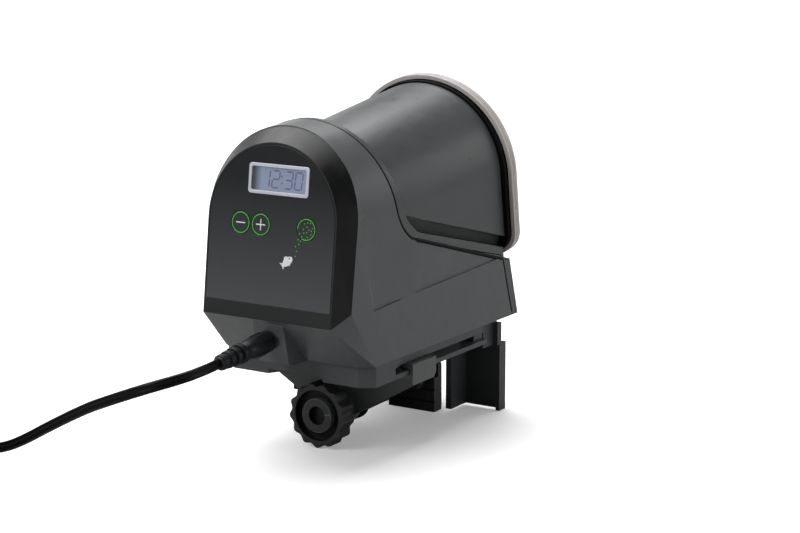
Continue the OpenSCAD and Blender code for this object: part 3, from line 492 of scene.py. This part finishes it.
# faces in the panel's plane below the black rim, the strip under the panel, take the darker grey: painted
# shade
for poly in housing.data.polygons:
    c = poly.center * 1000
    y, z = c.y + MID_Y, c.z - STAND_H
    between = z * math.tan(TILT) + SLACK < y < RIM_Y + z * math.tan(RIM_TILT) + SLACK
    outside = math.hypot(c.x, max(0.0, z - ARCH_Z)) > RIM_INNER
    if z > RIM_FOOT and between and outside and poly.normal.y < -0.2:
        poly.material_index = 1
    elif poly.normal.y < -0.95 and abs(y - z * math.tan(TILT)) < 0.3:
        poly.material_index = 2

hopper = softened("hopper", 0.45)
put(hopper, BODY_OF["hopper"], "hopper_plastic", hopper_grey, "hopper")
# the walls of the thin gap between housing and hopper are painted black: painted shade in the gap
SEAM = {"top": (32.2, 85), "knee": (46, 27.2), "back": (138, 4.4), "foot": (148.6, -27), "bend": 26,
        "gap": 0.3}


def seam_line(d):
    """Side view of the seam, moved away from the housing by d, as in the CAD source."""
    a = Vector(SEAM["top"]) + Vector((d, 0))
    p = Vector(SEAM["knee"]) + Vector((d, d))
    b = Vector(SEAM["back"]) + Vector((d, d))
    u, v = (a - p).normalized(), (b - p).normalized()
    half = math.acos(u.dot(v)) / 2
    r = SEAM["bend"]
    c = p + (u + v).normalized() * r / math.sin(half)
    s0, e0 = p + u * r / math.tan(half), p + v * r / math.tan(half)
    a0, a1 = math.atan2(*(s0 - c).yx), math.atan2(*(e0 - c).yx)
    turn = (a1 - a0 + 3 * math.pi) % (2 * math.pi) - math.pi
    arc = [c + r * Vector((math.cos(a0 + turn * i / 24), math.sin(a0 + turn * i / 24))) for i in range(25)]
    return [a, *arc, b, Vector(SEAM["foot"]) + Vector((d, 0))]


def off_line(line, q):
    """Distance of q from a line of points."""
    best = 1e9
    for a, b in zip(line, line[1:]):
        t = max(0.0, min(1.0, (q - a).dot(b - a) / (b - a).length_squared))
        best = min(best, (q - a - (b - a) * t).length)
    return best


GAP_WALL = 0.15
for o, d in ((housing, 0.0), (hopper, SEAM["gap"])):
    o.data.materials.append(seal_and_gap_shade_black)
    line = seam_line(d)
    for poly in o.data.polygons:
        c = poly.center * 1000
        if off_line(line, Vector((c.y + MID_Y, c.z - STAND_H))) < GAP_WALL:
            poly.material_index = len(o.data.materials) - 1

# the undercut below the ledge is painted darker: painted shade
hopper.data.materials.append(painted_shade_grey)
for poly in hopper.data.polygons:
    c = poly.center * 1000
    if abs(c.x) > 36 and -0.5 < poly.normal.z < -0.12 and abs(poly.normal.x) > 0.8:
        poly.material_index = len(hopper.data.materials) - 1

BARREL = {"y": 18, "z": 38.3, "r": 40.0, "widening": 0.037, "rise": math.radians(2.46)}


def seam_y(line, z):
    """Where the seam is at height z."""
    for a, b in zip(line, line[1:]):
        if b.y <= z <= a.y:
            return a.x + (b.x - a.x) * (a.y - z) / (a.y - b.y)
    return line[-1].x


def seam_route(sink):
    """Where the gap meets the outside, from the foot of one side over the top to the other, sunk by sink."""
    line = seam_line(SEAM["gap"] / 2)
    over = []
    for i in range(37):
        t = math.radians(90 * i / 36)
        z = 78.0
        for _ in range(12):
            y = seam_y(line, z)
            r = BARREL["r"] + BARREL["widening"] * (y - BARREL["y"]) - sink
            z = BARREL["z"] + (y - BARREL["y"]) * math.tan(BARREL["rise"]) + r * math.cos(t)
        over.append(Vector((r * math.sin(t), seam_y(line, z), z)))
    down = []
    steps = [a.lerp(b, k / n) for a, b in zip(line, line[1:]) for n in (max(1, int((b - a).length / 2)),)
             for k in range(n)]
    tree = housing.evaluated_get(bpy.context.evaluated_depsgraph_get())
    for q in steps:
        if q.y > over[-1].z - 1 or q.y < -26.5:
            continue
        hit, at, _, _ = tree.ray_cast(from_panel(60, q.x - 0.35, q.y), Vector((-1, 0, 0)))
        if hit:
            down.append(Vector((at.x * 1000 - sink, q.x, q.y)))
    half = over + down
    return [Vector((-v.x, v.y, v.z)) for v in half[:0:-1]] + half


def tube(name, points, radius, sides=8):
    """A round bead along points."""
    verts, faces = [], []
    for i, p in enumerate(points):
        t = (points[min(i + 1, len(points) - 1)] - points[max(i - 1, 0)]).normalized()
        side = t.cross(Vector((0, 1, 0.3))).normalized()
        up = side.cross(t)
        for k in range(sides):
            a = 2 * math.pi * k / sides
            verts.append(from_panel(*(p + side * radius * math.cos(a) + up * radius * math.sin(a))))
    for i in range(len(points) - 1):
        for k in range(sides):
            a, b = i * sides + k, i * sides + (k + 1) % sides
            faces.append((a, b, b + sides, a + sides))
    faces += [tuple(range(sides)), tuple(range((len(points) - 1) * sides, len(points) * sides))]
    return new_object(name, verts, faces, 60)


# a black bead sunk into the seam: painted shade standing in for the shadow in the gap
painted_seam_shadow = tube("seam_shadow_bead", seam_route(0.6), 0.85)
put(painted_seam_shadow, BODY_OF["front_housing"], "seal_rubber", seal_and_gap_shade_black)

chute = softened("drop_chute", 0.3)
put(chute, BODY_OF["drop_chute"], "hopper_plastic", hopper_grey, "drop_chute")

# ---------- lid ----------
LID = {"half": 46.0, "arch": 45.0, "bottom": 3.4, "corner": 12.0}
GROOVES, GROOVE_WIDTH, GROOVE_DEPTH = (4.15, 5.45), 0.32, 0.3


def tomb(inset=0.0):
    """Outline of the lid drawn inwards by inset."""
    h, c = LID["half"] - inset, max(0.3, LID["corner"] - inset)
    b = LID["bottom"] + inset
    return (circle(0, LID["arch"], h, 64, 0, 180) + circle(-h + c, b + c, c, 12, 180, 270)
            + circle(h - c, b + c, c, 12, 270, 360))


lid = softened("lid", 0.8, segments=3)
for n in GROOVES:
    cutter = plate("cutter", tomb(-1.0), on_mouth, n, n + GROOVE_WIDTH, holes=[tomb(GROOVE_DEPTH)])
    mod = lid.modifiers.new("groove", 'BOOLEAN')
    mod.operation = 'DIFFERENCE'
    mod.solver = 'EXACT'
    mod.object = cutter
    baked(lid)
    bpy.data.objects.remove(cutter)
smoothed(lid)
put(lid, BODY_OF["lid"], "lid_plastic", lid_grey, "lid")

# ---------- printing on the panel ----------
MINUS, PLUS, FEED, KEY_R = (-16.5, 36.0), (-5.6, 36.0), (18.7, 36.0), 4.9
PRINT = (-0.05, 0.03)
LINE = 0.28
RING_OUT, RING_IN = KEY_R - 0.12, KEY_R - 0.12 - 1.6 * LINE


def printed(name, outline, body, material, holes=()):
    """A sign printed on the panel or a key."""
    o = plate(name, outline, on_panel, *PRINT, holes)
    return put(o, body, "panel_gloss", material)


for name, at, body in (("minus", MINUS, BODY_OF["button_minus"]), ("plus", PLUS, BODY_OF["button_plus"])):
    printed(name + "_ring", circle(*at, RING_OUT, 64), body, print_green, [circle(*at, RING_IN, 64)])
    bar = 2.5
    if name == "minus":
        sign = [(at[0] - bar, at[1] - LINE), (at[0] + bar, at[1] - LINE), (at[0] + bar, at[1] + LINE),
                (at[0] - bar, at[1] + LINE)]
    else:
        sign = [(at[0] + x, at[1] + s) for x, s in (
            (-bar, -LINE), (-LINE, -LINE), (-LINE, -bar), (LINE, -bar), (LINE, -LINE), (bar, -LINE),
            (bar, LINE), (LINE, LINE), (LINE, bar), (-LINE, bar), (-LINE, LINE), (-bar, LINE))]
    printed(name + "_sign", sign, body, print_white)
feed_body = BODY_OF["button_feed"]
printed("feed_ring", ring_part(*FEED, RING_IN, RING_OUT, -118, 182), feed_body, print_green)
PELLETS = [(-1.0, 2.5), (0.6, 3.0), (2.0, 2.9), (0.4, 1.2), (-1.5, 0.1), (1.5, 0.0), (3.3, 0.8),
           (-3.4, -2.0), (-1.1, -1.5), (0.4, -1.2), (2.7, -0.4), (2.5, -2.0), (-2.0, -3.2), (0.8, -3.2)]
dots = [plate("dot", circle(FEED[0] + x, FEED[1] + s, 0.33, 12), on_panel, *PRINT) for x, s in PELLETS]
put(joined(dots, "feed_pellets"), feed_body, "panel_gloss", print_green)
TRAIL = [(14.8, 31.3), (16.1, 30.8), (15.3, 29.4), (13.6, 28.2), (14.4, 26.2), (13.8, 23.9)]
dots = [plate("dot", circle(x, s, 0.33, 12), on_panel, *PRINT) for x, s in TRAIL]
put(joined(dots, "falling_pellets"), BODY_OF["panel_overlay"], "panel_gloss", print_green)


FISH_TURN = math.radians(38)


def fish_outline(cx, cs):
    """A plain fish swimming up to the right."""
    body = [(3.1 * math.cos(math.radians(a)), 1.75 * math.sin(math.radians(a)))
            for a in range(-150, 151, 12)]
    tail = [(-3.9, 1.9), (-3.55, 0.0), (-3.9, -1.9)]
    fin = []
    for x, s in body:
        back_fin = 0.75 if -0.9 < x < 0.9 and s > 1 else 0
        belly_fin = 0.5 if -0.6 < x < 0.6 and s < -1 else 0
        fin.append((x, s + back_fin - belly_fin))
    c, t = math.cos(FISH_TURN), math.sin(FISH_TURN)
    return [(cx + (x * c - s * t), cs + (x * t + s * c)) for x, s in fin + tail]


def fish_eye(cx, cs):
    """The fish's eye, a hole in its outline."""
    c, t = math.cos(FISH_TURN), math.sin(FISH_TURN)
    return circle(cx + 1.7 * c - 0.5 * t, cs + 1.7 * t + 0.5 * c, 0.3, 10)


FISH = (9.8, 21.2)
printed("fish_mark", fish_outline(*FISH), BODY_OF["panel_overlay"], print_white, [fish_eye(*FISH)])

# ---------- display ----------
LCD_AT = (2.75, 56.3)
frame_ring = softened("display_frame", 0.25, segments=3)
put(frame_ring, BODY_OF["display_frame"], "display_frame", frame_silver, "display_frame")
SEGMENTS = {"0": "abcdef", "1": "bc", "2": "abged", "3": "abgcd"}
DIGIT_W, DIGIT_H, SEG_T = 3.7, 7.4, 0.62
DIGIT_LEAN, LCD_FACE = 0.08, 0.25
INK = (LCD_FACE - 0.03, LCD_FACE + 0.02)


def digit(cx, cs, value):
    """The lit segments of a digit."""
    w, h, t = DIGIT_W / 2, DIGIT_H / 2, SEG_T / 2
    spots = {"a": (0, h, 1), "g": (0, 0, 1), "d": (0, -h, 1), "f": (-w, h / 2, 0), "b": (w, h / 2, 0),
             "e": (-w, -h / 2, 0), "c": (w, -h / 2, 0)}
    out = []
    for key in SEGMENTS[value]:
        x, s, flat = spots[key]
        long = (w if flat else h / 2) - 0.22
        shape = [(-long, 0), (-long + t, t), (long - t, t), (long, 0), (long - t, -t), (-long + t, -t)]
        if not flat:
            shape = [(b, a) for a, b in shape]
        pts = [(cx + x + a + DIGIT_LEAN * (s + b), cs + s + b) for a, b in shape]
        out.append(plate("segment", pts, on_panel, *INK))
    return out


parts = []
for x, value in ((-4.0, "1"), (1.2, "2"), (8.2, "3"), (13.4, "0")):
    parts += digit(LCD_AT[0] - 0.4 + x - 2.6, LCD_AT[1] + 0.2, value)
for s in (-1.5, 1.5):
    parts.append(plate("colon", circle(LCD_AT[0] + 1.4, LCD_AT[1] + 0.2 + s, 0.42, 12), on_panel, *INK))
put(joined(parts, "display_digits"), BODY_OF["display_window"], "lcd_glass", digit_ink)

# ---------- clamp ----------
for node, width, material in (("base_plate", 0.4, plate_grey), ("rear_jaw", 0.4, clamp_dark),
                              ("clamp_carriage", 0.4, carriage_grey), ("pressure_bar", 0.4, pad_and_knob_shade_dark),
                              ("clamp_pads", 0.5, pad_and_knob_shade_dark), ("clamp_knob", 0.6, knob_dark)):
    o = softened(node, width)
    put(o, BODY_OF[node], SLOT_OF[node], material, node)
knob = o  # the last one made

# the dish round the knob's hub and the bore in it are painted dark as painted shade, and the hub's face is
# lighter
KNOB_Z, BORE_R, HUB_R, DISH_R, KNOB_FACE, KNOB_HUB = 15.5, 4.6, 8.3, 12.05, -38.6, -36.0
knob.data.materials.append(pad_and_knob_shade_dark)
knob.data.materials.append(carriage_grey)
for poly in knob.data.polygons:
    c = poly.center * 1000
    r = math.hypot(c.x, c.z - KNOB_Z)
    if c.y > KNOB_FACE and poly.normal.y < 0.5 and (r < BORE_R or HUB_R < r < DISH_R):
        poly.material_index = 1
    elif c.y < KNOB_HUB and BORE_R < r < HUB_R:
        poly.material_index = 2

# ---------- plug and its strain relief ----------
PLUG_TAIL, PLUG_DROP = Vector((0, -0.112, 0.056)), math.radians(4.2)
RELIEF_LEN, PLUG_LEN = 18.0, 18.2
PLUG_END = RELIEF_LEN + PLUG_LEN
plug_dir = Vector((0, math.cos(PLUG_DROP), math.sin(PLUG_DROP)))
plug_up = Vector((0, -math.sin(PLUG_DROP), math.cos(PLUG_DROP)))
profile = [(0, 0), (0, 2.5), (0.3, 2.7)]
for i in range(4):
    a, r = 0.9 + 4.3 * i, 3.5 + 0.38 * i
    profile += [(a, 2.75 + 0.15 * i), (a + 0.15, r - 0.25), (a + 0.45, r), (a + 2.2, r + 0.1),
                (a + 2.55, r - 0.1), (a + 2.7, 2.8 + 0.15 * i)]
profile += [(RELIEF_LEN, 3.4), (RELIEF_LEN, 0)]
relief = lathe("relief_body", profile, PLUG_TAIL, plug_dir, plug_up)
put(relief, BODY_OF["plug_relief"], "cord_rubber", plug_black, "plug_relief")
shell = [(RELIEF_LEN, 0), (RELIEF_LEN, 3.3), (RELIEF_LEN + 1.2, 4.1), (RELIEF_LEN + 4, 4.6),
         (RELIEF_LEN + 7, 4.85), (PLUG_END - 1.0, 4.85), (PLUG_END - 0.3, 4.7), (PLUG_END, 4.3),
         (PLUG_END, 2.65), (PLUG_END + 9.2, 2.65), (PLUG_END + 9.5, 2.4),
         (PLUG_END + 9.5, 1.25), (PLUG_END + 0.4, 1.25), (PLUG_END + 0.4, 0)]
plug = lathe("plug_body", shell, PLUG_TAIL, plug_dir, plug_up)
put(plug, BODY_OF["dc_plug"], "cord_rubber", plug_black, "dc_plug")
bars = []
plug_side = plug_dir.cross(plug_up)
for k in range(10):
    a = 2 * math.pi * (k + 0.5) / 10
    out = plug_up * math.cos(a) + plug_side * math.sin(a)
    across = plug_dir.cross(out)
    verts = []
    for along in (RELIEF_LEN + 6.5, RELIEF_LEN + 7.5, RELIEF_LEN + 14.0, RELIEF_LEN + 15.0):
        rise = 0.3 if RELIEF_LEN + 7 < along < RELIEF_LEN + 14.5 else 0.0
        centre = PLUG_TAIL + plug_dir * along / 1000
        for w, h in ((-0.45, 4.6), (-0.3, 4.85 + rise), (0.3, 4.85 + rise), (0.45, 4.6)):
            verts.append(centre + out * h / 1000 + across * w / 1000)
    faces = [(i * 4 + j, i * 4 + (j + 1) % 4, (i + 1) * 4 + (j + 1) % 4, (i + 1) * 4 + j)
             for i in range(3) for j in range(4)] + [(0, 1, 2, 3), (12, 13, 14, 15)]
    bars.append(new_object("grip", verts, faces, 40))
put(joined(bars, "plug_grips"), BODY_OF["dc_plug"], "cord_rubber", plug_black)

# ---------- the frame's own pieces ----------
for node, o in frame["nodes"].items():
    o.data.materials.clear()
    o.data.materials.append(black_steel if node == "clamp_spindle" else BY_SLOT[SLOT_OF[node]])

# ---------- floor, lamps and world ----------
bpy.ops.mesh.primitive_plane_add(size=8)
floor = bpy.context.object
floor.name = "floor"


def floor_finish():
    """A white floor: bright to the camera, and dimmer in the light that it throws back."""
    m = bpy.data.materials.new("floor_white")
    m.use_nodes = True
    nt = m.node_tree
    bsdf = nt.nodes["Principled BSDF"]
    bsdf.inputs["Roughness"].default_value = 0.9
    bsdf.inputs["Specular IOR Level"].default_value = 0.0
    rays = nt.nodes.new("ShaderNodeLightPath")
    for socket, dim, lit in (("Base Color", 0.34, 0.92), ("Emission Color", 0.0, 0.24)):
        blend = nt.nodes.new("ShaderNodeMix")
        blend.data_type = 'RGBA'
        nt.links.new(rays.outputs["Is Camera Ray"], blend.inputs["Factor"])
        blend.inputs[6].default_value = (dim, dim, dim, 1)
        blend.inputs[7].default_value = (lit, lit, lit, 1)
        nt.links.new(blend.outputs[2], bsdf.inputs[socket])
    bsdf.inputs["Emission Strength"].default_value = 1
    return m


floor.data.materials.append(floor_finish())


def lamp(name, at, target, size, radiance, size_y=None):
    """A rectangular lamp aimed at a point."""
    data = bpy.data.lights.new(name, 'AREA')
    data.shape = 'RECTANGLE'
    data.size, data.size_y = size, size_y or size
    data.energy = radiance * math.pi * size * (size_y or size)
    o = bpy.data.objects.new(name, data)
    scene.collection.objects.link(o)
    o.location = at
    o.rotation_mode = 'QUATERNION'
    o.rotation_quaternion = (Vector(at) - Vector(target)).to_track_quat('Z', 'Y')


sun_data = bpy.data.lights.new("sky_light", 'SUN')
sun_data.energy = 3.3
sun_data.angle = math.radians(70)
sun = bpy.data.objects.new("sky_light", sun_data)
scene.collection.objects.link(sun)
sun.rotation_euler = (math.radians(-10), math.radians(-22), 0)
lamp("top_box", (-0.25, 0.3, 0.85), (0, 0, 0.1), 0.55, 2.4)
lamp("right_box", (1.1, 0.3, 0.32), (0, 0, 0.08), 0.7, 3.4, 0.34)
lamp("back_box", (0.5, 1.1, 0.4), (0, 0, 0.1), 0.5, 2.0)
lamp("front_box", (-0.45, -1.0, 0.85), (0, 0, 0.08), 0.7, 5.0)
lamp("left_box", (-0.95, 0.75, 0.3), (0, 0, 0.1), 0.6, 1.0)

world = bpy.data.worlds.new("world")
scene.world = world
world.use_nodes = True
nt = world.node_tree
backdrop = nt.nodes["Background"]
backdrop.inputs["Strength"].default_value = 1
path_node = nt.nodes.new("ShaderNodeLightPath")
mix = nt.nodes.new("ShaderNodeMix")
mix.data_type = 'RGBA'
nt.links.new(path_node.outputs["Is Camera Ray"], mix.inputs["Factor"])
mix.inputs[6].default_value = (0.1, 0.1, 0.103, 1)
mix.inputs[7].default_value = (1, 1, 1, 1)
nt.links.new(mix.outputs[2], backdrop.inputs["Color"])
